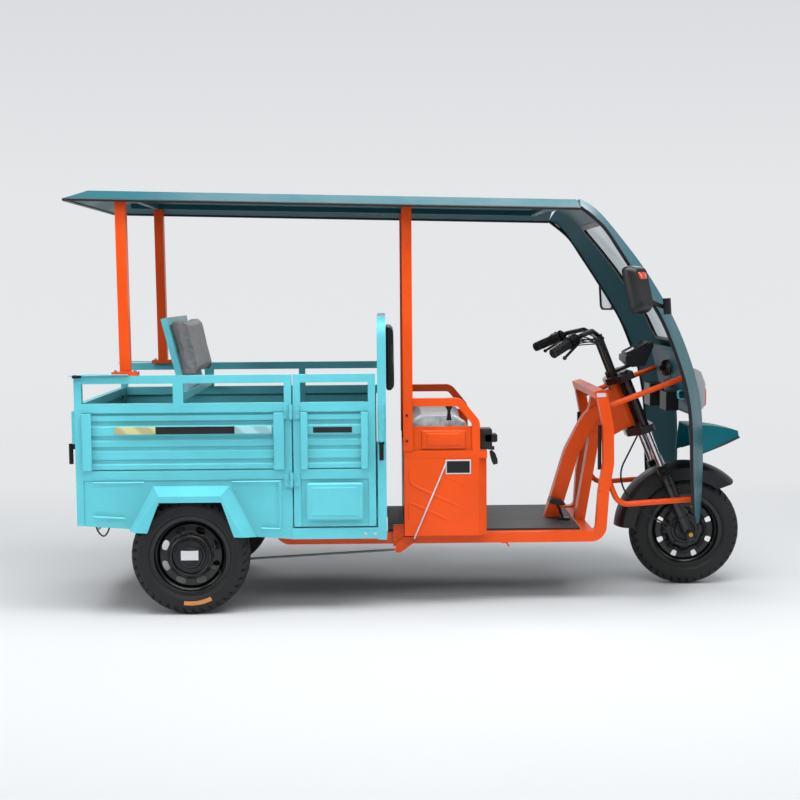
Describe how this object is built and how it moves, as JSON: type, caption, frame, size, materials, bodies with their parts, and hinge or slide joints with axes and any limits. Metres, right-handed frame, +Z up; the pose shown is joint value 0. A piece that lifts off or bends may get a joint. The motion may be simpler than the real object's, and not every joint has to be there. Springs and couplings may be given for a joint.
{
  "type": "electric cargo tricycle",
  "caption": "Three-wheeled electric passenger and cargo vehicle with a railed bed, a full roof and a curved front shield.",
  "frame": {"origin": "on the ground, midway along the overall length and on the centre plane", "axes": "+X forward, +Y to the vehicle's left, +Z up"},
  "size_m": [2.891, 1.2943, 1.7481],
  "materials": {
    "frame_orange": "gloss orange powder coat",
    "bed_turquoise": "gloss turquoise powder coat",
    "shield_teal": "gloss teal moulding",
    "roof_bars": "dark teal paint",
    "cushion_grey": "grey vinyl",
    "mat_rubber": "ribbed floor rubber",
    "tyre_rubber": "black tyre rubber",
    "wheel_black": "satin black paint",
    "screen_clear": "clear screen",
    "lamp_lens": "lamp pod",
    "tail_red": "red lens",
    "black_plastic": "grained black plastic",
    "bar_black": "black paint",
    "fork_steel": "chromed and painted steel",
    "latch_turquoise": "turquoise paint with black grips",
    "zinc_steel": "zinc plated bolts and nuts",
    "cable_white": "white cable sheath",
    "plate_white": "blank white plate"
  },
  "bodies": {
    "chassis": {"main_frame": "frame_orange", "foot_floor": "frame_orange", "floor_mat": "mat_rubber", "shield_struts": "frame_orange", "seat_box": "frame_orange", "battery_pack": "black_plastic", "arm_frame_right": "frame_orange", "arm_frame_left": "frame_orange", "driver_cushion": "cushion_grey", "driver_back_pad": "cushion_grey", "bed_floor": "bed_turquoise", "bed_front": "bed_turquoise", "bed_side_left": "bed_turquoise", "bed_side_right": "bed_turquoise", "tail_panel": "bed_turquoise", "latches": "latch_turquoise", "wheel_arch_right": "bed_turquoise", "wheel_arch_left": "bed_turquoise", "passenger_seat_stand": "bed_turquoise", "passenger_back_frame": "bed_turquoise", "passenger_cushion": "cushion_grey", "passenger_back_pad": "cushion_grey", "roof_panel": "shield_teal", "roof_frame": "roof_bars", "roof_pillars": "frame_orange", "front_shield": "shield_teal", "windscreen": "screen_clear", "dash_fairing": "shield_teal", "nose_beak": "shield_teal", "headlamp": "lamp_lens", "nose_boxes": "black_plastic", "mirrors": "black_plastic", "rear_axle": "bar_black", "leaf_springs": "bar_black", "brake_pedal": "black_plastic", "parking_brake": "frame_orange", "parking_brake_cable": "cable_white", "tail_lamps": "tail_red", "plate_blank": "plate_white"},
    "steering": {"fork": "fork_steel", "handlebar": "bar_black", "bar_controls": "black_plastic", "instrument_pod": "black_plastic", "front_fender": "black_plastic", "front_brake_cable": "black_plastic"},
    "front_wheel": {"front_tyre": "tyre_rubber", "front_rim": "wheel_black"},
    "rear_wheel_right": {"rear_tyre_right": "tyre_rubber", "rear_rim_right": "wheel_black"},
    "rear_wheel_left": {"rear_tyre_left": "tyre_rubber", "rear_rim_left": "wheel_black"},
    "tailgate": {"tailgate": "bed_turquoise"},
    "side_door": {"side_door": "bed_turquoise"}
  },
  "joints": [
    {"name": "steering", "type": "hinge", "parent": "chassis", "child": "steering", "pos_m": [0.8791, 0, 0.905], "axis": [-0.3762, 0, 0.9265], "range_deg": [-40, 40]},
    {"name": "front_wheel_spin", "type": "hinge", "parent": "steering", "child": "front_wheel", "pos_m": [1.2005, 0, 0.245], "axis": [0, 1, 0], "continuous": true},
    {"name": "rear_wheel_right_spin", "type": "hinge", "parent": "chassis", "child": "rear_wheel_right", "pos_m": [-0.9525, -0.479, 0.245], "axis": [0, 1, 0], "continuous": true},
    {"name": "rear_wheel_left_spin", "type": "hinge", "parent": "chassis", "child": "rear_wheel_left", "pos_m": [-0.9525, 0.479, 0.245], "axis": [0, 1, 0], "continuous": true},
    {"name": "tailgate_hinge", "type": "hinge", "parent": "chassis", "child": "tailgate", "pos_m": [-1.4255, 0, 0.421], "axis": [0, -1, 0], "range_deg": [0, 90]},
    {"name": "side_door_hinge", "type": "hinge", "parent": "chassis", "child": "side_door", "pos_m": [-0.5315, -0.509, 0.6], "axis": [0, 0, -1], "range_deg": [0, 100]}
  ]
}
